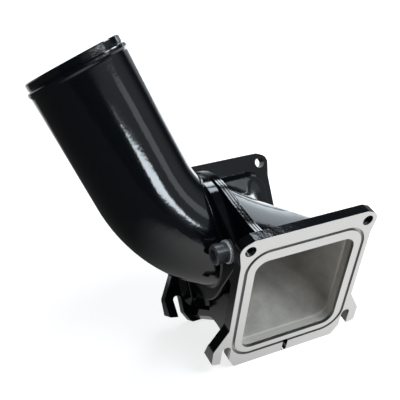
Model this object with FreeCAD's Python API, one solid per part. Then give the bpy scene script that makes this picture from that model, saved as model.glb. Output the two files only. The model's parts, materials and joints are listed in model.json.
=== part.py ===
import FreeCAD, Part
import math
import os
os.makedirs("parts", exist_ok=True)
V = FreeCAD.Vector

# Intake bridge of a V engine, in millimetres, +Z up.
# It stands on the lower edges of its two port flanges.
# While it is modelled, X = 0 lies midway between the flanges, Y = 0 in the middle of
# each flange and Z = 0 at the centre height of the two ports.
# Before export everything moves so that the origin is the middle of the footprint.

# port flanges
face_gap = 73.3        # from X = 0 to a flange face, at the port centre
face_lean = 19.4       # degrees that each flange leans outwards at its top
plate = 10.3           # flange thickness
hole_a = 58.4          # half the distance between the two upper holes
hole_b = 69.5          # their height above the port centre, up the flange
hole_dia = 10.5
slot_a = 65.0          # half the distance between the two lower slots
slot_b = 48.8          # how far the centre of a slot's round end lies below the port centre
slot_width = 9.0
side_a = 65.3          # half width of the flange between its upper corners and its ears
ear_a = 78.4           # half width over the ears
ear_back = 5.6         # extra thickness of an ear at its foot
top_b = 80.0
low_b = 74.6
port_a = 50.3          # half width of the port
port_b = 53.6          # half height of the port
port_corner = 12.0
groove_a = 60.7        # outer edge of the gasket groove
groove_top = 66.2
groove_low = 62.6
groove_width = 3.1
groove_depth = 2.6
wall = 5.0

# round inlet on the front of the bridge
hub_z = 45.5           # height of the inlet centre above the port centres
joint_y = -46.5        # plane where elbow and bridge meet
elbow_plate = 11.0
flange_round = 1.2     # on the front edge of the elbow's flange
foot_round = 2.5       # where the tube grows out of its flange
bolt_half = 54.85      # from the inlet centre to each screw
bolt_turn = 4.2        # degrees by which the line of the screws is turned
ear_r = 15.5
ring_r = 54.0
lobe_x = -11.0
lobe_z = -17.5
lobe_r = 51.0

# elbow
tube_od = 93.0         # at the open end
tube_wall = 5.0        # at the foot of the straight; the bore is parallel from there out
tube_taper = 0.0108    # radius lost per millimetre away from the open end, the casting's draft
bend_r = 109.5
bend_end = 70.6        # degrees from the -Y direction at which the bend ends
bend_lean = 17.1       # degrees by which the bend leans to -X
straight = 123.6       # from the end of the bend to the open end
bend_x = 4.55
bend_z = 29.6
collar_len = 6.6
collar_dia = 90.8
neck_depth = 0.6       # of the neck below the collar's radius
neck_len = 1.4
bead_dia = 95.2
bead_len = 4.3

# screws and washers, M12
screw_d = 12.0
head_d = 18.0
head_h = 12.0
key_af = 10.0
washer_od = 21.1
washer_id = 12.4
washer_t = 2.5
washer_gap = 2.4       # width of the split in a spring washer
screw_len = 30.0
scoop_r = 13.0         # room cast into the elbow for a key over each screw
screw_room = 0.5       # round a screw's shank in the elbow flange
thread_gap = 0.05      # round a screw's shank in the bridge
boss_r = 11.0
key_depth = 6.0

# seal in the elbow's flange
seal_mid_r = 44.0
seal_w = 3.6
seal_h = 2.8
seal_gap = 0.02        # left above and below the seal
seal_side = 0.1        # left beside the seal

lean = math.radians(face_lean)
up = V(math.sin(lean), 0, math.cos(lean))
out = V(math.cos(lean), 0, -math.sin(lean))
face_y = joint_y - elbow_plate
turn = math.radians(bolt_turn)
bolt_x = bolt_half * math.cos(turn)
bolt_z = bolt_half * math.sin(turn)
screws = [(bolt_x, hub_z + bolt_z), (-bolt_x, hub_z - bolt_z)]


def rounded(points, radii):
    # wire in the XY plane, each corner rounded by its radius
    n = len(points)
    corner = []
    for i in range(n):
        p = V(points[i][0], points[i][1], 0)
        a = V(points[i - 1][0], points[i - 1][1], 0) - p
        b = V(points[(i + 1) % n][0], points[(i + 1) % n][1], 0) - p
        a.normalize()
        b.normalize()
        r = radii[i]
        if r <= 0:
            corner.append((p, p, None))
            continue
        half = a.getAngle(b) / 2
        s = p + a * (r / math.tan(half))
        e = p + b * (r / math.tan(half))
        mid = a + b
        mid.normalize()
        m = p + mid * (r / math.sin(half) - r)
        corner.append((s, e, Part.Arc(s, m, e).toShape()))
    edges = []
    for i in range(n):
        if corner[i][2]:
            edges.append(corner[i][2])
        a = corner[i][1]
        b = corner[(i + 1) % n][0]
        if (a - b).Length > 1e-6:
            edges.append(Part.makeLine(a, b))
    return Part.Wire(edges)


def hull(circles, grow=0.0):
    # wire round circles (x, y, r) that are listed anticlockwise
    n = len(circles)
    tangents = []
    for i in range(n):
        x1, y1, r1 = circles[i]
        x2, y2, r2 = circles[(i + 1) % n]
        d = math.hypot(x2 - x1, y2 - y1)
        a = math.atan2(y2 - y1, x2 - x1) - math.acos((r1 - r2) / d)
        tangents.append(a)
    edges = []
    for i in range(n):
        x, y, r = circles[i]
        r = r + grow
        a0 = tangents[i - 1]
        a1 = tangents[i]
        while a1 < a0:
            a1 += 2 * math.pi
        am = (a0 + a1) / 2
        p = [V(x + r * math.cos(t), y + r * math.sin(t), 0) for t in (a0, am, a1)]
        edges.append(Part.Arc(p[0], p[1], p[2]).toShape())
        x2, y2, r2 = circles[(i + 1) % n]
        r2 = r2 + grow
        q = V(x2 + r2 * math.cos(tangents[i]), y2 + r2 * math.sin(tangents[i]), 0)
        edges.append(Part.makeLine(p[2], q))
    return Part.Wire(edges)


def prism(wire, low, high):
    body = Part.Face(wire).extrude(V(0, 0, high - low))
    body.translate(V(0, 0, low))
    return body


def matrix(x, y, z, o):
    m = FreeCAD.Matrix()
    m.A11, m.A21, m.A31 = x.x, x.y, x.z
    m.A12, m.A22, m.A32 = y.x, y.y, y.z
    m.A13, m.A23, m.A33 = z.x, z.y, z.z
    m.A14, m.A24, m.A34 = o.x, o.y, o.z
    return m


# local x along +Y, local y up the flange, local z out of its face
flange_frame = matrix(V(0, 1, 0), up, out, V(face_gap, 0, 0))
# local x along +X, local y along +Z, local z towards the front
front_frame = matrix(V(1, 0, 0), V(0, 0, 1), V(0, -1, 0), V(0, 0, 0))


def put(shape, m):
    s = shape.copy()
    s.transformShape(m)
    return s


def both(shape):
    return shape.fuse(shape.mirror(V(0, 0, 0), V(1, 0, 0)))


def rod(x, z, y_from, y_to, r):
    return Part.makeCylinder(r, abs(y_to - y_from), V(x, max(y_from, y_to), z), V(0, -1, 0))


def block(x0, x1, y0, y1, z0, z1):
    return Part.makeBox(x1 - x0, y1 - y0, z1 - z0, V(x0, y0, z0))


def edges_at(shape, y):
    # edges that lie in the plane at this Y
    return [e for e in shape.Edges if abs(e.BoundBox.YMin - y) < 1e-4 and e.BoundBox.YLength < 1e-4]


# flange plate with its two ears, the open slots and the holes
slot_in = slot_a - slot_width / 2
slot_out = slot_a + slot_width / 2
slot_end = -slot_b + slot_width / 2
right_half = [
    (56.5, top_b, 9),
    (69.2, 74.5, 9),
    (side_a, 54.0, 16),
    (side_a, -23.0, 4),
    (ear_a, -45.8, 6),
    (ear_a, -62.8, 1.5),
    (slot_out, -64.6, 0.8),
    (slot_out, slot_end, slot_width / 2),
    (slot_in, slot_end, slot_width / 2),
    (slot_in, -63.4, 2.0),
    (54.2, -low_b, 4.0),
]
outline = right_half + [(-a, b, r) for a, b, r in reversed(right_half)]
flange = prism(rounded([p[:2] for p in outline], [p[2] for p in outline]), -plate, 0)

# the ears grow thicker towards their feet
ear_top = -44.0
ear_low = -70.0
ear_foot = -plate - ear_back * 1.35
wedge = [V(0, ear_top, -plate), V(0, ear_low, ear_foot), V(0, ear_low, -1.0), V(0, ear_top, -1.0)]
wedge = Part.Face(Part.makePolygon(wedge + [wedge[0]])).extrude(V(2 * ear_a, 0, 0))
wedge.translate(V(-ear_a, 0, 0))
deep = prism(rounded([p[:2] for p in outline], [p[2] for p in outline]), -plate - 20, 0)
middle = Part.makeBox(2 * slot_out, 200, 60, V(-slot_out, -150, -50))
flange = flange.fuse(deep.common(wedge).cut(middle))
for side in (-1, 1):
    hole = Part.makeCylinder(hole_dia / 2, plate + 2, V(side * hole_a, hole_b, -plate - 1))
    flange = flange.cut(hole)


# empty gasket groove round the port, with the small tab pocket below it
def ring_wire(inset):
    a = groove_a - inset
    t = groove_top - inset
    b = groove_low - inset
    r = port_corner + groove_a - port_a - inset
    return rounded([(-a, -b), (a, -b), (a, t), (-a, t)], [r] * 4)


groove = prism(ring_wire(0), -groove_depth, 1).cut(prism(ring_wire(groove_width), -9, 9))
tab = [(-3.0, -groove_low - 12), (2.2, -groove_low - 12), (2.6, -groove_low + 1), (-2.8, -groove_low + 1)]
groove = groove.fuse(prism(rounded(tab, [2.0, 2.0, 0, 0]), -7.0, 1))


# cross-section of a trumpet parallel to its flange, at a depth behind the face
def section(quad, radii, depth):
    wire = rounded(quad, radii)
    wire.translate(V(0, 0, -depth))
    return put(wire, flange_frame)


def place_on_flange(p, depth):
    return V(face_gap, 0, 0) + V(0, p[0], 0) + up * p[1] - out * depth


def mid_section(quad, radii, x):
    wire = rounded(quad, radii)
    return put(wire, matrix(V(0, 1, 0), V(0, 0, 1), V(1, 0, 0), V(x, 0, 0)))


def port_quad(grow):
    a = port_a + grow
    b = port_b + grow
    return [(-a, -b), (a, -b), (a, b), (-a, b)]


# corners run front-low, back-low, back-top, front-top
def trumpet(port, port_r, port_depth, near, near_r, near_depth, bend, bend_corner, crest, crest_r):
    right = [
        section(port, port_r, port_depth),
        section(near, near_r, near_depth),
        mid_section(bend, bend_corner, kink_x),
    ]
    left = [w.mirror(V(0, 0, 0), V(1, 0, 0)) for w in reversed(right)]
    return right, mid_section(crest, crest_r, 0.0), left


def horn(parts):
    right, crest, left = parts
    return both(Part.makeLoft(right + [crest], True, False))


kink_x = 20.0
near_depth = plate + 13.0
duct_near = [(-45.5, -47.0), (45.0, -46.0), (39.0, 52.0), (-38.5, 54.0)]
duct_bend = [(-42.0, -14.0), (24.0, -13.0), (12.0, 58.0), (-39.5, 82.5)]
duct_crest = [(-40.5, 5.0), (6.0, 7.0), (1.0, 57.0), (-39.5, 88.0)]
shell_near = [(-51.5, -52.0), (50.5, -51.0), (44.0, 57.0), (-45.5, 60.0)]
shell_bend = [(-46.5, -19.5), (29.5, -18.5), (17.0, 63.0), (-45.0, 88.5)]
shell_crest = [(-46.0, -0.5), (11.5, 1.0), (7.0, 63.0), (-45.0, 95.0)]
shell = horn(trumpet(port_quad(wall), [17] * 4, plate - 1.0, shell_near, [16, 18, 20, 10], near_depth,
                     shell_bend, [13, 18, 23, 8], shell_crest, [12, 18, 24, 6]))
duct = horn(trumpet(port_quad(0), [port_corner] * 4, plate, duct_near, [12, 14, 16, 8], near_depth,
                    duct_bend, [10, 14, 18, 6], duct_crest, [8, 14, 20, 6]))

# flared root where each trumpet joins its flange
root = []
for behind, flare in ((-0.5, 4.8), (1.5, 3.0), (4.5, 1.0), (8.0, -0.8)):
    grow = wall + flare
    root.append(section(port_quad(grow), [port_corner + grow] * 4, plate + behind))
root = Part.makeLoft(root, True, False)

# front pad that carries the elbow
ears = [(-bolt_x, -bolt_z, ear_r), (lobe_x, lobe_z, lobe_r), (bolt_x, bolt_z, ear_r), (0, 0, ring_r)]


def front(wire, y_back, y_front):
    body = prism(wire, -y_back, -y_front)
    body = put(body, front_frame)
    body.translate(V(0, 0, hub_z))
    return body


pad = front(hull(ears, -0.8), joint_y + 8.0, joint_y)

# arched shoulder over the pad, from flange to flange, with two grooves along its crest
arch = [(0, 101.2), (15, 99.6), (29, 95.2), (42, 89.6), (55, 84.6), (70, 79.4), (91, 74.5)]
arch_foot = [(84.5, 56.0), (72.0, 38.0)]


def arch_face(drop):
    spots = [V(-x, z - drop, 0) for x, z in reversed(arch[1:])] + [V(x, z - drop, 0) for x, z in arch]
    crest = Part.BSplineCurve()
    crest.interpolate(spots)
    sides = [V(x, z, 0) for x, z in arch_foot] + [V(-x, z, 0) for x, z in reversed(arch_foot)]
    return Part.Wire([crest.toShape()] + Part.makePolygon([spots[-1]] + sides + [spots[0]]).Edges)


def arch_slice(drop, behind, depth):
    body = put(prism(arch_face(drop), 0, depth), front_frame)
    body.translate(V(0, joint_y + behind + depth, 0))
    return body


shoulder = arch_slice(0, 0, 1.6)
for drop, behind, depth in ((1.3, 1.5, 1.3), (0.1, 2.6, 1.7), (1.3, 4.2, 1.3), (0.3, 5.3, 1.4)):
    shoulder = shoulder.fuse(arch_slice(drop, behind, depth))
slope = []
for drop, behind in ((0.5, 6.5), (5.5, 10.5)):
    w = put(arch_face(drop), front_frame)
    w.translate(V(0, joint_y + behind, 0))
    slope.append(w)
shoulder = shoulder.fuse(Part.makeLoft(slope, True, True))

# web that closes the front between the trumpets; its lower edge arches from flange to flange
def front_wire(points, radii, y):
    w = put(rounded(points, radii), front_frame)
    w.translate(V(0, y, 0))
    return w


web_back = joint_y + 7.0
web_mid = joint_y + 1.0
web_y = joint_y - 5.5
web_low = [(-46.0, -69.0), (6.0, -46.0), (46.0, -60.0), (66.0, -4.0), (-66.0, -4.0)]
web_high = [(-43.0, -61.5), (4.0, -40.5), (43.0, -54.0), (66.0, -4.0), (-66.0, -4.0)]
web_r = [3, 25, 3, 6, 6]
web = Part.makeLoft([front_wire(web_low, web_r, y) for y in (web_back, web_mid)], True, True)
web_slope = [front_wire(web_low, web_r, web_mid), front_wire(web_high, web_r, web_y)]
web = web.fuse(Part.makeLoft(web_slope, True, True))

# shallow recess in the web, its foot sloping like the arch
recess_r = [1.5, 7, 2, 1.5]
recess_low = [(-36.3, 14.0), (-36.3, -48.3), (-3.5, -33.6), (-3.5, 14.0)]
recess_top = [(-36.8, 14.0), (-36.8, -51.0), (0.0, -35.8), (0.0, 14.0)]
recess_y = web_y + 4.0
recess = [front_wire(recess_low, recess_r, recess_y), front_wire(recess_top, recess_r, web_y)]
recess = Part.makeLoft(recess, True, True)
recess_mouth = [front_wire(recess_top, recess_r, y) for y in (web_y, web_y - 10)]
recess = recess.fuse(Part.makeLoft(recess_mouth, True, True))

bridge = put(flange, flange_frame)
bridge = bridge.fuse(root)
bridge = both(bridge)
bridge = bridge.fuse(shell)
bridge = bridge.fuse(pad)
bridge = bridge.fuse(shoulder)
bridge = bridge.fuse(web)
port_cut = put(prism(rounded(port_quad(0), [port_corner] * 4), -plate, 1), flange_frame)


# bend and straight tube of the elbow
bend_dir = V(-math.sin(math.radians(bend_lean)), 0, math.cos(math.radians(bend_lean)))
bend_start = V(bend_x, 0, bend_z)
bend_centre = bend_start + bend_dir * bend_r
bend_axis = V(0, -1, 0).cross(bend_dir)
run_len = bend_r * math.radians(bend_end)


def spun(shape, degrees):
    s = shape.copy()
    s.rotate(bend_centre, bend_axis, degrees)
    return s


# tapering pipe: inset is taken off the tube's outer radius
def bend_ring(inset, degrees):
    r = tube_od / 2 - tube_taper * (straight + bend_r * math.radians(bend_end - degrees)) - inset
    return spun(Part.Wire(Part.makeCircle(r, bend_start, V(0, -1, 0))), degrees)


def pipe(inset, from_deg, to_deg):
    steps = 12
    rings = [bend_ring(inset, from_deg + (to_deg - from_deg) * i / steps) for i in range(steps + 1)]
    return Part.makeLoft(rings, True, False)


# the straight tube tapers outside and is bored parallel inside
tip_len = 18.0
low_r = tube_od / 2 - tube_taper * straight
shoulder_r = tube_od / 2 - tube_taper * tip_len
outer = Part.makeCone(low_r, shoulder_r, straight - tip_len, bend_start, V(0, -1, 0))
outer = pipe(0, 8.0, bend_end).fuse(spun(outer, bend_end))
bore = Part.makeCylinder(low_r - tube_wall, straight + 5.0, bend_start, V(0, -1, 0))
bore = pipe(tube_wall, 4.0, bend_end).fuse(spun(bore, bend_end))

# open end: collar, small neck, raised bead
bead_from = straight - collar_len - neck_len - bead_len
profile = [
    (0, straight - tip_len - 0.5),
    (tube_od / 2 - (tip_len + 0.5) * tube_taper, straight - tip_len - 0.5),
    (tube_od / 2 - 14.5 * tube_taper, bead_from - 2.2),
    (tube_od / 2 + 0.25, bead_from - 0.9),
    (bead_dia / 2 - 0.4, bead_from),
    (bead_dia / 2, bead_from + 0.9),
    (bead_dia / 2, bead_from + bead_len - 1.1),
    (bead_dia / 2 - 0.8, bead_from + bead_len - 0.2),
    (collar_dia / 2 - neck_depth, bead_from + bead_len + 0.3),
    (collar_dia / 2 - neck_depth, straight - collar_len - 0.2),
    (collar_dia / 2, straight - collar_len + 0.3),
    (collar_dia / 2, straight - 1.0),
    (collar_dia / 2 - 1.0, straight),
    (0, straight),
]
tip = Part.makePolygon([V(a, -b, 0) for a, b in profile + [profile[0]]])
tip = Part.Face(tip).revolve(V(0, 0, 0), V(0, 1, 0), 360)
tip.translate(bend_start)
tip = spun(tip, bend_end)

# elbow flange with a short fillet round the foot of the tube
elbow = outer.fuse(tip)
elbow = elbow.cut(block(-200, 200, joint_y, 200, -200, 300))
elbow_flange = front(hull(ears), joint_y, face_y)
elbow_flange = elbow_flange.makeFillet(flange_round, edges_at(elbow_flange, face_y))
elbow = elbow.fuse(elbow_flange)
foot = [e for e in edges_at(elbow, face_y) if e.BoundBox.XMax < ring_r and e.BoundBox.XMin > -ring_r]
elbow = elbow.makeFillet(foot_round, foot)
for x, z in screws:
    elbow = elbow.cut(rod(x, z, face_y, face_y - 70, scoop_r))
    elbow = elbow.cut(rod(x, z, joint_y + 1, face_y - 1, screw_d / 2 + screw_room))
elbow = elbow.cut(bore)
seal_floor = joint_y - seal_h - 2 * seal_gap
seal_out = rod(0, hub_z, joint_y + 1, seal_floor, seal_mid_r + seal_w / 2 + seal_side)
seal_in = rod(0, hub_z, joint_y + 1, seal_floor, seal_mid_r - seal_w / 2 - seal_side)
elbow = elbow.cut(seal_out.cut(seal_in))

# the bridge is hollow: ports, trumpets and the mouth behind the elbow
bridge = bridge.cut(both(put(groove, flange_frame)))
bridge = bridge.cut(both(port_cut))
bridge = bridge.cut(duct)
mouth = pipe(tube_wall, 6.0, 34.0)
bridge = bridge.cut(mouth.common(block(-60, 60, joint_y - 2, -20, -20, 140)))
pocket = front(hull(ears, 1.6), joint_y, face_y - 6.0)
bridge = bridge.cut(pocket)
bridge = bridge.cut(recess)
screw_end = face_y - washer_t + screw_len
hole_end = screw_end + 2.5
for x, z in screws:
    boss = rod(x, z, joint_y, hole_end + 4.0, boss_r)
    bridge = bridge.fuse(boss)
    bridge = bridge.cut(rod(x, z, joint_y - 1, hole_end, screw_d / 2 + thread_gap))

# seal, screws and washers
seal = rod(0, hub_z, joint_y - seal_gap, joint_y - seal_h - seal_gap, seal_mid_r + seal_w / 2)
seal = seal.cut(rod(0, hub_z, joint_y + 1, joint_y - elbow_plate, seal_mid_r - seal_w / 2))


def hexagon(across_flats):
    r = across_flats / math.sqrt(3)
    corners = []
    for k in range(6):
        a = math.radians(60 * k)
        corners.append(V(r * math.cos(a), r * math.sin(a), 0))
    return Part.makePolygon(corners + [corners[0]])


head_y = face_y - washer_t
head_front = head_y - head_h
bolts = []
rings = []
for x, z in screws:
    head = rod(x, z, head_y, head_front, head_d / 2)
    head = head.makeChamfer(1.0, edges_at(head, head_front))
    key = put(prism(hexagon(key_af), 0, key_depth + 1), front_frame)
    key.translate(V(x, head_front + key_depth, z))
    head = head.cut(key)
    shank = rod(x, z, head_y, head_y + screw_len, screw_d / 2)
    bolts.append(head.fuse(shank))
    ring = rod(x, z, face_y, head_y, washer_od / 2).cut(rod(x, z, face_y + 1, head_y - 1, washer_id / 2))
    slit = block(x - washer_gap / 2, x + washer_gap / 2, head_y - 1, face_y + 1, z, z + washer_od)
    slit.rotate(V(x, 0, z), V(0, 1, 0), -38)
    rings.append(ring.cut(slit))

nodes = {
    "bridge": bridge,
    "elbow": elbow,
    "cap_screws": Part.makeCompound(bolts),
    "lock_washers": Part.makeCompound(rings),
    "inlet_seal": seal,
}
whole = Part.makeCompound(list(nodes.values()))
span = whole.optimalBoundingBox(False, False)
shift = V(-(span.XMin + span.XMax) / 2, -(span.YMin + span.YMax) / 2, -span.ZMin)
for name, shape in nodes.items():
    shape = shape.removeSplitter() if name in ("bridge", "elbow") else shape
    shape.translate(shift)
    print(name, len(shape.Solids), "solids, valid", shape.isValid(), round(shape.Volume / 1000, 1), "cm3")
    shape.exportStep("parts/" + name + ".step")
print("shift", shift)
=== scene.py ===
import bmesh
import bpy
import json
import math
from mathutils import Matrix, Vector

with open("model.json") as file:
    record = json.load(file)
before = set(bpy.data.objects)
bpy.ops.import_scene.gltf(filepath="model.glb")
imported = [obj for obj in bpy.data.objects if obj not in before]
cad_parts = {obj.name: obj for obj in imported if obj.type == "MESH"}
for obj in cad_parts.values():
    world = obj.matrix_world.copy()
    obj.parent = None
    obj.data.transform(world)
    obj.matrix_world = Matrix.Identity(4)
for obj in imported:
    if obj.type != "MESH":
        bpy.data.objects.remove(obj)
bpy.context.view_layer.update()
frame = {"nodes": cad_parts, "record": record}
nodes = frame["nodes"]

# Inlet elbow
# A sand casting in aluminium: a flange with two ears, a bend and a straight round tube.
# It is powder coated in gloss black outside, and its air way is left as cast.

coat_black = (0.0030, 0.0037, 0.0052, 1.0)
coat_ior = 1.52
cast_dark = (0.24, 0.225, 0.20, 1.0)
cast_light = (0.40, 0.375, 0.335, 1.0)
cast_roughness = 0.62
cast_metallic = 0.45

# each new node stands to the right of the last one
node_spacing = 200


def node_in(tree, kind, **settings):
    made = tree.nodes.new(kind)
    made.location = (node_spacing * len(tree.nodes), 0)
    for name, value in settings.items():
        setattr(made, name, value)
    return made


# a socket takes a plain value, or what another node gives
def feed(tree, socket, value):
    if isinstance(value, bpy.types.NodeSocket):
        tree.links.new(value, socket)
    else:
        socket.default_value = value


def noise(tree, place, scale, detail, rough):
    made = node_in(tree, "ShaderNodeTexNoise")
    feed(tree, made.inputs["Vector"], place)
    feed(tree, made.inputs["Scale"], scale)
    feed(tree, made.inputs["Detail"], detail)
    feed(tree, made.inputs["Roughness"], rough)
    return made.outputs["Fac"]


def sum_up(tree, kind, *values):
    made = node_in(tree, "ShaderNodeMath", operation=kind)
    for socket, value in zip(made.inputs, values):
        feed(tree, socket, value)
    return made.outputs[0]


# a share of 0 gives the first of two numbers, ways or colours, and 1 gives the second
def blend(tree, kind, share, first, second):
    made = node_in(tree, "ShaderNodeMix", data_type=kind)
    at_first, at_second, at_out = {"FLOAT": (2, 3, 0), "VECTOR": (4, 5, 1), "RGBA": (6, 7, 2)}[kind]
    feed(tree, made.inputs[0], share)
    feed(tree, made.inputs[at_first], first)
    feed(tree, made.inputs[at_second], second)
    return made.outputs[at_out]


def skin_group(name, sockets):
    group = bpy.data.node_groups.new(name, "ShaderNodeTree")
    for side, kind, label, value in sockets:
        made = group.interface.new_socket(name=label, in_out=side, socket_type=kind)
        if value is not None:
            made.default_value = value
    return group, node_in(group, "NodeGroupInput").outputs, node_in(group, "NodeGroupOutput").inputs


# cured powder: waves of about 2 mm on wider ones of about 7 mm, and a slow drift of gloss
powder_skin, given, wanted = skin_group("powder_skin", [
    ("INPUT", "NodeSocketVector", "Place", None),
    ("INPUT", "NodeSocketFloat", "Wave", None),
    ("INPUT", "NodeSocketFloat", "Smoothest", 0.07),
    ("INPUT", "NodeSocketFloat", "Roughest", 0.12),
    ("OUTPUT", "NodeSocketFloat", "Height", None),
    ("OUTPUT", "NodeSocketFloat", "Roughness", None),
])
swell_weight = 1.8
peel = noise(powder_skin, given["Place"], scale=520.0, detail=1.5, rough=0.45)
swell = noise(powder_skin, given["Place"], scale=150.0, detail=1.0, rough=0.4)
drift = noise(powder_skin, given["Place"], scale=38.0, detail=3.0, rough=0.6)
waves = sum_up(powder_skin, "MULTIPLY_ADD", swell, swell_weight, peel)
feed(powder_skin, wanted["Height"], sum_up(powder_skin, "MULTIPLY", waves, given["Wave"]))
feed(powder_skin, wanted["Roughness"],
     blend(powder_skin, "FLOAT", drift, given["Smoothest"], given["Roughest"]))


def span(tree, value, low, high, to_low=0.0, to_high=1.0, curve="LINEAR"):
    made = node_in(tree, "ShaderNodeMapRange", interpolation_type=curve)
    feed(tree, made.inputs["Value"], value)
    feed(tree, made.inputs["From Min"], low)
    feed(tree, made.inputs["From Max"], high)
    feed(tree, made.inputs["To Min"], to_low)
    feed(tree, made.inputs["To Max"], to_high)
    return made.outputs["Result"]


# sand-cast skin: grains of about 1 mm on lumps of about 4 mm, and a slow change of tone
cast_skin, given, wanted = skin_group("cast_skin", [
    ("INPUT", "NodeSocketVector", "Place", None),
    ("INPUT", "NodeSocketFloat", "Grain", 0.00012),
    ("OUTPUT", "NodeSocketFloat", "Height", None),
    ("OUTPUT", "NodeSocketFloat", "Tone", None),
])
grain_weight = 0.55
grain = noise(cast_skin, given["Place"], scale=900.0, detail=3.0, rough=0.65)
lumps = noise(cast_skin, given["Place"], scale=260.0, detail=2.0, rough=0.5)
cloud = noise(cast_skin, given["Place"], scale=55.0, detail=3.0, rough=0.55)
rough_skin = sum_up(cast_skin, "ADD", grain, lumps)
mottle = sum_up(cast_skin, "MULTIPLY_ADD", grain, grain_weight, cloud)
feed(cast_skin, wanted["Height"], sum_up(cast_skin, "MULTIPLY", rough_skin, given["Grain"]))
feed(cast_skin, wanted["Tone"], span(cast_skin, mottle, low=0.45, high=1.05))


def new_finish(name):
    finish = bpy.data.materials.new(name)
    finish.use_nodes = True
    return finish, finish.node_tree, finish.node_tree.nodes["Principled BSDF"]


def vector_sum(tree, kind, *values, out="Vector"):
    made = node_in(tree, "ShaderNodeVectorMath", operation=kind)
    for socket, value in zip(made.inputs, values):
        feed(tree, socket, value)
    return made.outputs[out]


# how far an offset reaches along a way, and what is left of it square to that way
def reach(tree, offset, way):
    return vector_sum(tree, "DOT_PRODUCT", offset, way, out="Value")


def square_to(tree, offset, way):
    step = vector_sum(tree, "MULTIPLY", way, reach(tree, offset, way))
    return vector_sum(tree, "SUBTRACT", offset, step)


def all_of(tree, first, *masks):
    for mask in masks:
        first = sum_up(tree, "MULTIPLY", first, mask)
    return first


def both_skins(tree, place, wave):
    coat = node_in(tree, "ShaderNodeGroup", node_tree=powder_skin)
    feed(tree, coat.inputs["Place"], place)
    feed(tree, coat.inputs["Wave"], wave)
    sand = node_in(tree, "ShaderNodeGroup", node_tree=cast_skin)
    feed(tree, sand.inputs["Place"], place)
    return coat.outputs, sand.outputs


def emboss(tree, shader, height):
    bump = node_in(tree, "ShaderNodeBump")
    bump.inputs["Strength"].default_value = 1.0
    bump.inputs["Distance"].default_value = 1.0
    feed(tree, bump.inputs["Height"], height)
    feed(tree, shader.inputs["Normal"], bump.outputs["Normal"])


def put_on(node, finish):
    for held in nodes[node].material_slots:
        held.material = finish


# the tube ends in the frame's hose end, and the bend's arc runs into its foot
mounts = {mount["name"]: mount for mount in frame["record"]["mounts"]}
tube_length = 0.1236
bend_radius = 0.1095
to_front = Vector((0, -1, 0))
tube_way = Vector(mounts["inlet_hose_end"]["axis"])
tube_foot = Vector(mounts["inlet_hose_end"]["pos_m"]) - tube_way * tube_length
bend_pivot = to_front.cross(tube_way).normalized()
bend_hub = tube_foot + bend_pivot.cross(tube_way) * bend_radius

elbow_coat, tree, shader = new_finish("elbow_coat_gloss_black")
place = node_in(tree, "ShaderNodeTexCoord").outputs["Object"]
facing = node_in(tree, "ShaderNodeNewGeometry").outputs["True Normal"]

# the way out to each point from the centre line of the bend, or else of the tube
from_hub = vector_sum(tree, "SUBTRACT", place, bend_hub)
ring_way = vector_sum(tree, "NORMALIZE", square_to(tree, from_hub, bend_pivot))
on_ring = vector_sum(tree, "MULTIPLY", ring_way, (bend_radius,) * 3)
bend_out = vector_sum(tree, "SUBTRACT", from_hub, on_ring)
from_foot = vector_sum(tree, "SUBTRACT", place, tube_foot)
tube_out = square_to(tree, from_foot, tube_way)
past_bend = sum_up(tree, "GREATER_THAN", reach(tree, from_foot, tube_way), 0.0)
way_out = blend(tree, "VECTOR", past_bend, bend_out, tube_out)

# as cast: nearer to the centre line than a radius within the wall, and turned towards it
wall_radius = 0.0424
inwards = -0.005
off_line = vector_sum(tree, "LENGTH", way_out, out="Value")
near_line = sum_up(tree, "LESS_THAN", off_line, wall_radius)
turned_in = sum_up(tree, "LESS_THAN", reach(tree, way_out, facing), inwards)
as_cast = all_of(tree, near_line, turned_in)

coat, sand = both_skins(tree, place, wave=0.000035)
cast_tone = blend(tree, "RGBA", sand["Tone"], cast_dark, cast_light)
feed(tree, shader.inputs["Base Color"], blend(tree, "RGBA", as_cast, coat_black, cast_tone))
feed(tree, shader.inputs["Roughness"],
     blend(tree, "FLOAT", as_cast, coat["Roughness"], cast_roughness))
feed(tree, shader.inputs["Metallic"], sum_up(tree, "MULTIPLY", as_cast, cast_metallic))
feed(tree, shader.inputs["IOR"], coat_ior)
emboss(tree, shader, blend(tree, "FLOAT", as_cast, coat["Height"], sand["Height"]))
put_on("elbow", elbow_coat)

# Bridge
# One sand casting in aluminium with two leaning port flanges, coated like the elbow. The
# port faces and gasket grooves are then milled bare, and the ports stay as cast inside.

face_dark = (0.56, 0.56, 0.55, 1.0)
face_light = (0.68, 0.68, 0.67, 1.0)
# the paler grey painted on each port's mouth: painted light against the shade on its lip
painted_mouth_light = (0.60, 0.57, 0.52, 1.0)

# the right-hand port: its middle lies midway between the front and the rear holes
face_out = Vector(mounts["right_port_face"]["axis"])
face_up = Vector((-face_out.z, 0, face_out.x))
holes_y = [mounts[f"right_upper_{end}_hole"]["pos_m"][1] for end in ("front", "rear")]
port_middle = Vector(mounts["right_port_face"]["pos_m"])
port_middle.y = sum(holes_y) / len(holes_y)


def grey(level):
    return (level, level, level, 1.0)


def point(tree, x, y, z):
    made = node_in(tree, "ShaderNodeCombineXYZ")
    for socket, value in zip(made.inputs, (x, y, z)):
        feed(tree, socket, value)
    return made.outputs[0]


bridge_coat, tree, shader = new_finish("bridge_coat_gloss_black")
place = node_in(tree, "ShaderNodeTexCoord").outputs["Object"]
facing = node_in(tree, "ShaderNodeNewGeometry").outputs["True Normal"]

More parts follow.
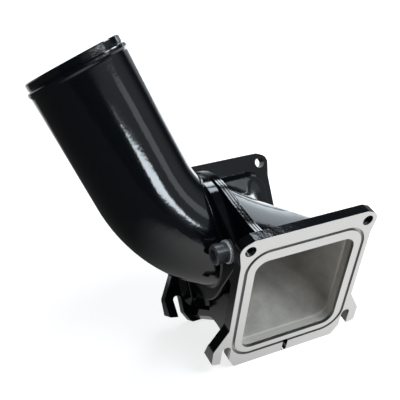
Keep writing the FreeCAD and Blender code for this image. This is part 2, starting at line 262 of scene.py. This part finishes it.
# both halves are alike, so the pattern is folded about the middle plane
apart = node_in(tree, "ShaderNodeSeparateXYZ")
feed(tree, apart.inputs[0], place)
half_x = sum_up(tree, "ABSOLUTE", apart.outputs["X"])
folded = point(tree, half_x, apart.outputs["Y"], apart.outputs["Z"])
from_port = vector_sum(tree, "SUBTRACT", folded, port_middle)
depth = reach(tree, from_port, face_out)
rise = reach(tree, from_port, face_up)
across = reach(tree, from_port, (0, 1, 0))
wide = sum_up(tree, "ABSOLUTE", across)

# milled: the face, and all within the groove's outer edge down to a little below its floor
groove_half_width = 0.0607
groove_top = 0.0662
groove_low = -0.0626
groove_slack = 0.0005
milled_depth = -0.0034
groove_middle = (groove_top + groove_low) / 2
groove_half_height = (groove_top - groove_low) / 2
on_face = span(tree, depth, low=-0.00045, high=-0.00015)
groove_rise = sum_up(tree, "ABSOLUTE", sum_up(tree, "SUBTRACT", rise, groove_middle))
in_groove = all_of(
    tree,
    sum_up(tree, "LESS_THAN", wide, groove_half_width + groove_slack),
    sum_up(tree, "LESS_THAN", groove_rise, groove_half_height + groove_slack),
    sum_up(tree, "GREATER_THAN", depth, milled_depth))
machined = sum_up(tree, "MAXIMUM", on_face, in_groove)

# the air way's centre line runs out and down from the crest to the port, and at first back
crest_y = 0.0352
crest_z = 0.1044
run_back = 0.37
run_down = -0.48
back_until = 0.0513
duct_y = sum_up(tree, "MULTIPLY_ADD", sum_up(tree, "MINIMUM", half_x, back_until), run_back, crest_y)
duct_z = sum_up(tree, "MULTIPLY_ADD", half_x, run_down, crest_z)
duct_line = point(tree, apart.outputs["X"], duct_y, duct_z)
duct_out = vector_sum(tree, "SUBTRACT", place, duct_line)

# as cast: between the air way's floor, roof and sides, and turned towards its centre line
duct_inwards = -0.002
duct_floor = -0.0618
floor_slope = -0.56
duct_roof = 0.0615
duct_half_width = 0.0527
as_cast = all_of(
    tree,
    sum_up(tree, "LESS_THAN", reach(tree, duct_out, facing), duct_inwards),
    sum_up(tree, "GREATER_THAN", rise, sum_up(tree, "MULTIPLY_ADD", depth, floor_slope, duct_floor)),
    sum_up(tree, "LESS_THAN", rise, duct_roof),
    sum_up(tree, "LESS_THAN", wide, duct_half_width))

# marks of the face mill: flat arcs about a millimetre apart, swept along the flange
mill_middle = (0, -0.32, 0)
mill_flatness = (0.35, 1.0, 0.35)
mill_pace = 5400.0
mill_depth = 0.0000018
mill_from = vector_sum(tree, "SUBTRACT", from_port, mill_middle)
mill_from = vector_sum(tree, "MULTIPLY", mill_from, mill_flatness)
mill_radius = vector_sum(tree, "LENGTH", mill_from, out="Value")
mill_mark = sum_up(tree, "SINE", sum_up(tree, "MULTIPLY", mill_radius, mill_pace))
mill_drift = noise(tree, place, scale=60.0, detail=4.0, rough=0.6)

# deep in a port its rear wall is painted darker, a painted shade, and just behind the face its mouth is
# painted paler, painted light against the shade on its lip
coat, sand = both_skins(tree, place, wave=0.000040)
cast_tone = blend(tree, "RGBA", sand["Tone"], cast_dark, cast_light)
painted_rear_shade = span(tree, across, low=-0.01, high=0.035, to_low=1.0, to_high=0.5, curve="SMOOTHSTEP")
deep_shade_share = span(tree, depth, low=-0.045, high=-0.010, to_low=1.0, to_high=0.0)
cast_tone = vector_sum(tree, "MULTIPLY", cast_tone, blend(tree, "FLOAT", deep_shade_share, 1.0, painted_rear_shade))
mouth_light_share = span(tree, depth, low=-0.0125, high=-0.0095)
cast_tone = blend(tree, "RGBA", mouth_light_share, cast_tone, painted_mouth_light)

# below the face, the groove and the port's edge are painted a duller grey, a painted shade for these
# recesses
face_edge = -0.0002
below_face = sum_up(tree, "LESS_THAN", depth, face_edge)
face_tone = blend(tree, "RGBA", mill_drift, face_dark, face_light)
colour = blend(tree, "RGBA", as_cast, coat_black, cast_tone)
colour = blend(tree, "RGBA", machined, colour, face_tone)
colour = blend(tree, "RGBA", all_of(tree, in_groove, below_face), colour, grey(0.38))
feed(tree, shader.inputs["Base Color"], colour)
face_roughness = span(tree, mill_drift, low=0.3, high=0.7, to_low=0.30, to_high=0.44)
roughness = blend(tree, "FLOAT", as_cast, coat["Roughness"], cast_roughness)
feed(tree, shader.inputs["Roughness"], blend(tree, "FLOAT", machined, roughness, face_roughness))
bare = sum_up(tree, "MULTIPLY", as_cast, cast_metallic)
feed(tree, shader.inputs["Metallic"], sum_up(tree, "MAXIMUM", bare, machined))
feed(tree, shader.inputs["IOR"], coat_ior)
height = blend(tree, "FLOAT", as_cast, coat["Height"], sand["Height"])
mill_height = sum_up(tree, "MULTIPLY", mill_mark, mill_depth)
emboss(tree, shader, blend(tree, "FLOAT", machined, height, mill_height))
put_on("bridge", bridge_coat)

# Inlet seal
# A moulded ring of black nitrile rubber with flat sides. It lies in a groove of the elbow's
# flange and closes the joint with the bridge.


def mottled_finish(name, node, scale, detail, rough, dark, light, smoothest, roughest, metallic):
    finish, tree, shader = new_finish(name)
    place = node_in(tree, "ShaderNodeTexCoord").outputs["Object"]
    patches = noise(tree, place, scale, detail, rough)
    roughness = span(tree, patches, low=0.3, high=0.7, to_low=smoothest, to_high=roughest)
    feed(tree, shader.inputs["Base Color"], blend(tree, "RGBA", patches, dark, light))
    feed(tree, shader.inputs["Roughness"], roughness)
    feed(tree, shader.inputs["Metallic"], metallic)
    put_on(node, finish)


mottled_finish(
    "seal_nitrile_rubber", "inlet_seal",
    scale=320.0, detail=3.0, rough=0.6,
    dark=grey(0.018), light=grey(0.04),
    smoothest=0.55, roughest=0.7, metallic=0.0)

# Lock washers
# Two split spring washers of flat-sided steel wire, coiled, cut through on one side and
# plated in bright zinc. Each is pressed flat between a screw's head and the elbow's flange.

mottled_finish(
    "washer_bright_zinc", "lock_washers",
    scale=700.0, detail=2.0, rough=0.5,
    dark=(0.88, 0.89, 0.90, 1.0), light=(0.95, 0.96, 0.97, 1.0),
    smoothest=0.34, roughest=0.50, metallic=0.2)

# Cap screws
# Two M12 screws with a hexagon socket clamp the elbow's ears to the bridge. They are
# cold-headed in steel, black oxided and lightly oiled.

mottled_finish(
    "screw_black_oxide", "cap_screws",
    scale=240.0, detail=3.0, rough=0.6,
    dark=(0.075, 0.075, 0.080, 1.0), light=(0.13, 0.13, 0.138, 1.0),
    smoothest=0.24, roughest=0.36, metallic=0.3)

# Studio floor
# A white sheet that fades a little greyer close round the object. The gloss coat mirrors it as a painted
# reflection: dark, apart from one glowing patch beside the object and the far part behind it, glows that
# are seen only in mirror images.

floor_reach = 4.0
floor_dark = 0.07


def way_to(azimuth, height=0.0):
    turn = math.radians(azimuth)
    lift = math.radians(height)
    return Vector((math.cos(lift) * math.cos(turn), math.cos(lift) * math.sin(turn), math.sin(lift)))


sheet = bmesh.new()
bmesh.ops.create_grid(sheet, x_segments=1, y_segments=1, size=floor_reach)
floor_mesh = bpy.data.meshes.new("studio_floor")
sheet.to_mesh(floor_mesh)
sheet.free()
floor = bpy.data.objects.new("studio_floor", floor_mesh)
bpy.context.collection.objects.link(floor)

floor_white, tree, shader = new_finish("floor_white")
shader.inputs["Base Color"].default_value = grey(0.40)
shader.inputs["Roughness"].default_value = 0.9
shader.inputs["Specular IOR Level"].default_value = 0.0
shader.inputs["Emission Color"].default_value = grey(1.0)
ray = node_in(tree, "ShaderNodeLightPath").outputs
on_floor = node_in(tree, "ShaderNodeTexCoord").outputs["Object"]

# the sheet as the camera sees it
seen = sum_up(tree, "MAXIMUM", ray["Is Camera Ray"], ray["Is Transmission Ray"])
far_off = vector_sum(tree, "LENGTH", on_floor, out="Value")
whiteness = span(tree, far_off, low=0.16, high=0.40, to_low=0.77, to_high=1.0)
feed(tree, shader.inputs["Emission Strength"], sum_up(tree, "MULTIPLY", seen, whiteness))

# the sheet as the gloss coat mirrors it: a painted reflection, which glows only in mirror images
patch_middle = (0.28, 0.17, 0.0)
patch_squeeze = (3.6, 3.4, 0.0)
off_patch = vector_sum(tree, "SUBTRACT", on_floor, patch_middle)
off_patch = vector_sum(tree, "MULTIPLY", off_patch, patch_squeeze)
off_patch = vector_sum(tree, "LENGTH", off_patch, out="Value")
painted_patch_reflection = span(tree, off_patch, low=0.6, high=1.65, to_low=1.15, to_high=floor_dark, curve="SMOOTHSTEP")
behind = reach(tree, on_floor, way_to(150.0))
painted_far_reflection = span(tree, behind, low=0.25, high=0.50, to_low=floor_dark, to_high=1.0, curve="SMOOTHSTEP")
mirrored = node_in(tree, "ShaderNodeEmission")
feed(tree, mirrored.inputs["Strength"], sum_up(tree, "MAXIMUM", painted_patch_reflection, painted_far_reflection))


# rays of one kind see the second shader, and all others see the first
def choose_shader(tree, rays, first, second):
    choice = node_in(tree, "ShaderNodeMixShader")
    feed(tree, choice.inputs[0], rays)
    feed(tree, choice.inputs[1], first.outputs[0])
    feed(tree, choice.inputs[2], second.outputs[0])
    return choice


shine = choose_shader(tree, ray["Is Glossy Ray"], shader, mirrored)
feed(tree, tree.nodes["Material Output"].inputs["Surface"], shine.outputs[0])
floor.data.materials.append(floor_white)

# Studio walls
# All round is white to the camera and a soft light on the object. The gloss coat mirrors
# the walls as dark, apart from three parts that glow.

wall_dark = 0.02

world = bpy.data.worlds.new("studio")
bpy.context.scene.world = world
world.use_nodes = True
tree = world.node_tree
tree.nodes.clear()
ray = node_in(tree, "ShaderNodeLightPath").outputs
towards = node_in(tree, "ShaderNodeTexCoord").outputs["Generated"]


# the walls glow round one way; starts and full are cosines of the angle from that way
def wall_glow(way, starts, full, level):
    cosine = reach(tree, towards, way)
    return span(tree, cosine, starts, full, to_low=wall_dark, to_high=level, curve="SMOOTHSTEP")


def plain_wall(colour, strength):
    made = node_in(tree, "ShaderNodeBackground")
    feed(tree, made.inputs["Color"], colour)
    feed(tree, made.inputs["Strength"], strength)
    return made


back_left_glow = wall_glow(way_to(188.0), starts=0.70, full=0.90, level=1.0)
right_glow = wall_glow(way_to(50.0, height=14.036), starts=0.60, full=0.95, level=0.40)
back_glow = wall_glow(way_to(140.0), starts=0.88, full=0.97, level=0.55)
side_glows = sum_up(tree, "MAXIMUM", back_left_glow, right_glow)
glows = sum_up(tree, "MAXIMUM", side_glows, back_glow)
lighting = plain_wall(grey(1.0), 0.16)
mirrored = plain_wall((0.90, 0.97, 1.0, 1.0), glows)
backdrop = plain_wall(grey(1.0), 1.0)
seen = sum_up(tree, "MAXIMUM", ray["Is Camera Ray"], ray["Is Transmission Ray"])
glossy = choose_shader(tree, ray["Is Glossy Ray"], lighting, mirrored)
walls = choose_shader(tree, seen, glossy, backdrop)
feed(tree, node_in(tree, "ShaderNodeOutputWorld").inputs["Surface"], walls.outputs[0])

# Lamps
# Softboxes and cards stand round the object, so that its gloss coat mirrors bright streaks
# where the photograph shows them. Two more lamps only light it, and are not mirrored.

lamp_white = (0.84, 0.93, 1.0)
object_middle = Vector((0.0, 0.0, 0.14))


def softbox(name, azimuth, height, away, wide, tall, glow, mirrored=True):
    lamp = bpy.data.lights.new(name, "AREA")
    lamp.shape = "RECTANGLE"
    lamp.size = wide
    lamp.size_y = tall
    lamp.energy = glow * math.pi * wide * tall
    lamp.color = lamp_white
    box = bpy.data.objects.new(name, lamp)
    bpy.context.collection.objects.link(box)
    towards_lamp = way_to(azimuth, height)
    box.location = object_middle + towards_lamp * away
    box.rotation_euler = towards_lamp.to_track_quat("Z", "Y").to_euler()
    box.visible_camera = False
    box.visible_glossy = mirrored


softbox("softbox_low_right", azimuth=15.0, height=10.5, away=3.4, wide=1.05, tall=0.46, glow=17.0)
softbox("strip_right", azimuth=52.0, height=15.0, away=3.4, wide=0.90, tall=1.25, glow=1.3)
softbox("panel_high_right", azimuth=45.0, height=38.0, away=3.4, wide=2.40, tall=1.00, glow=5.5)
softbox("panel_behind", azimuth=131.0, height=28.0, away=3.4, wide=1.20, tall=2.10, glow=2.8)
softbox("card_low_behind", azimuth=141.0, height=-1.0, away=0.75, wide=0.36, tall=0.20, glow=1.7)
softbox("card_behind", azimuth=143.0, height=46.0, away=3.4, wide=0.70, tall=0.60, glow=9.0)
softbox("panel_high_behind", azimuth=132.0, height=60.0, away=3.4, wide=0.80, tall=0.50, glow=8.0)
softbox("port_fill", azimuth=25.0, height=44.0, away=1.6, wide=0.80, tall=0.60, glow=7.0, mirrored=False)
softbox("fill_left", azimuth=-80.0, height=30.0, away=1.6, wide=0.80, tall=0.80, glow=1.8, mirrored=False)

# Camera
# It stands to the right of the object and a little in front, looks down on it and leans
# slightly to one side. Its place, its way and its lens were fitted to the photograph.

camera_place = Vector((0.57602, -0.272906, 0.393224))
camera_azimuth = -25.26875
camera_height = 20.95595
camera_roll = -3.45374
focal_pixels = 753.3
photo_pixels = 400.0

optics = bpy.data.cameras.new("camera")
optics.sensor_width = 36.0
optics.sensor_fit = "HORIZONTAL"
optics.lens = focal_pixels * optics.sensor_width / photo_pixels
optics.clip_start = 0.01
camera = bpy.data.objects.new("camera", optics)
bpy.context.collection.objects.link(camera)
level_view = way_to(camera_azimuth, camera_height).to_track_quat("Z", "Y").to_matrix().to_4x4()
leaning_view = level_view @ Matrix.Rotation(math.radians(camera_roll), 4, "Z")
camera.matrix_world = Matrix.Translation(camera_place) @ leaning_view
bpy.context.scene.camera = camera
bpy.context.scene.view_settings.view_transform = "Standard"
